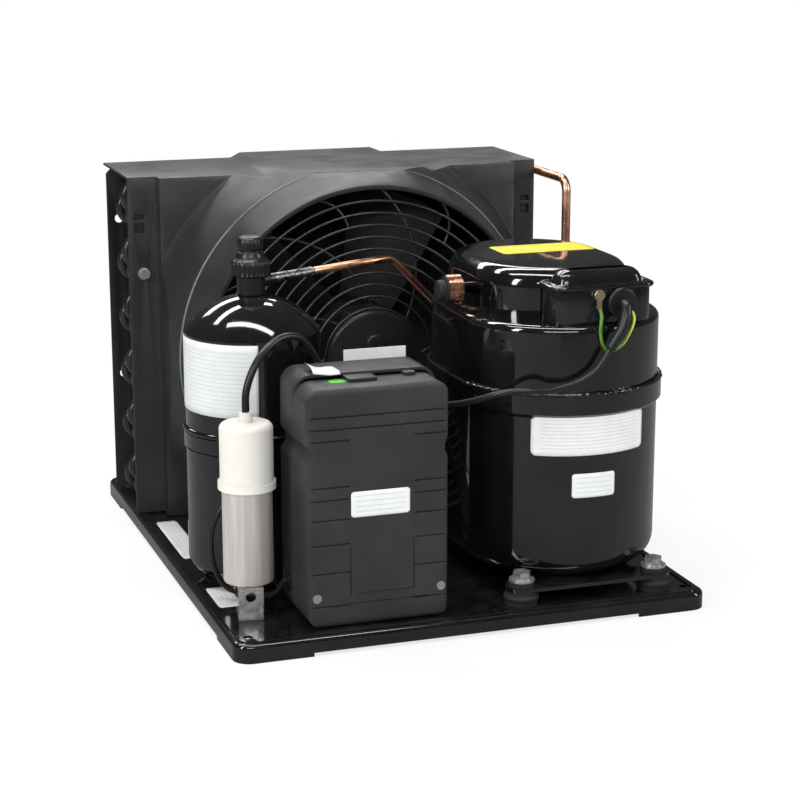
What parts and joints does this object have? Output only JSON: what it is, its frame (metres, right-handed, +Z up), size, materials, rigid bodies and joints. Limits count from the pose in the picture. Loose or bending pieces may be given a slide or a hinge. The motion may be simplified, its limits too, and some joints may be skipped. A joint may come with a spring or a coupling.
{
  "type": "condensing unit",
  "caption": "Air-cooled condensing unit: black base, oval hermetic compressor, liquid receiver, shrouded fan and coil, electrical box and run capacitor.",
  "frame": {"origin": "middle of the base's underside", "axes": "+Z up, +Y towards the condenser coil, +X to the right of someone who faces the compressor and box"},
  "size_m": [0.4, 0.5, 0.3315],
  "materials": {
    "base_black": "gloss",
    "sheet_black": "satin",
    "shell_black": "gloss",
    "fin_black": "matte",
    "coil_copper": "dull",
    "pipe_copper": "polished",
    "pipe_steel": "brushed",
    "zinc": "zinc plated",
    "inner_steel": "plain",
    "fan_plastic": "matte",
    "black_plastic": "gloss",
    "box_grey": "fine grain",
    "rubber_black": "matte",
    "can_metal": "satin",
    "white_plastic": "satin",
    "wire_green": "green with a yellow stripe"
  },
  "bodies": {
    "unit": {"base_plate": "base_black", "condenser_fins": "fin_black", "condenser_tubes": "coil_copper", "return_bends": "coil_copper", "end_plate_left": "sheet_black", "end_plate_right": "sheet_black", "condenser_feet": "sheet_black", "foot_screws": "zinc", "fan_shroud": "sheet_black", "shroud_screws": "zinc", "fan_guard": "sheet_black", "fan_motor": "sheet_black", "fan_motor_boss": "sheet_black", "receiver_lower_shell": "shell_black", "receiver_upper_shell": "shell_black", "receiver_foot": "shell_black", "service_valve_body": "shell_black", "valve_outlet_stub": "pipe_steel", "liquid_line": "pipe_copper", "discharge_line": "pipe_copper", "compressor_foot_plate": "shell_black", "foot_grommets": "rubber_black", "foot_sleeves": "zinc", "foot_washers": "zinc", "foot_bolts": "zinc", "compressor_lower_shell": "shell_black", "compressor_upper_shell": "shell_black", "suction_stub": "pipe_copper", "motor_stator": "inner_steel", "cylinder_block": "inner_steel", "terminal_frame": "shell_black", "terminal_gland": "rubber_black", "earth_screw": "zinc", "box_rear_housing": "box_grey", "start_relay": "black_plastic", "start_capacitor": "black_plastic", "terminal_block": "white_plastic", "cable_glands": "rubber_black", "box_tag": "white_plastic", "run_capacitor_can": "can_metal", "run_capacitor_cap": "white_plastic", "capacitor_bracket": "zinc", "capacitor_nut": "zinc", "capacitor_cable": "rubber_black", "fan_lead": "rubber_black", "compressor_cable": "rubber_black", "cable_sleeve": "rubber_black", "earth_wire": "wire_green"},
    "fan": {"fan_shaft": "inner_steel", "fan_impeller": "fan_plastic"},
    "crank": {"motor_rotor": "inner_steel", "crankshaft": "inner_steel"},
    "piston": {"piston": "inner_steel"},
    "valve_cap": {"valve_cap": "black_plastic"},
    "valve_spindle": {"valve_spindle": "inner_steel"},
    "terminal_cover": {"terminal_cover": "black_plastic"},
    "box_cover": {"box_front_cover": "box_grey", "box_screws": "zinc"},
    "suction_plug": {"suction_plug": "rubber_black"}
  },
  "joints": [
    {"name": "fan_spin", "type": "hinge", "parent": "unit", "child": "fan", "pos_m": [-0.003, 0.073, 0.171], "axis": [0, 1, 0], "continuous": true},
    {"name": "crank_spin", "type": "hinge", "parent": "unit", "child": "crank", "pos_m": [0.1025, -0.122, 0.1], "axis": [0, 0, 1], "continuous": true},
    {"name": "piston_stroke", "type": "slide", "parent": "unit", "child": "piston", "axis": [0, 1, 0], "range_m": [-0.008, 0.008]},
    {"name": "valve_cap_lift", "type": "slide", "parent": "unit", "child": "valve_cap", "axis": [0, 0, 1], "range_m": [0, 0.03]},
    {"name": "valve_spindle_turn", "type": "hinge", "parent": "unit", "child": "valve_spindle", "pos_m": [-0.139, -0.082, 0.27], "axis": [0, 0, 1], "range_deg": [0, 2880]},
    {"name": "terminal_cover_lift", "type": "slide", "parent": "unit", "child": "terminal_cover", "axis": [0, 0, 1], "range_m": [0, 0.03]},
    {"name": "box_cover_pull", "type": "slide", "parent": "unit", "child": "box_cover", "axis": [0, -1, 0], "range_m": [0, 0.06]},
    {"name": "suction_plug_pull", "type": "slide", "parent": "unit", "child": "suction_plug", "axis": [-1, 0, 0], "range_m": [0, 0.03]}
  ]
}
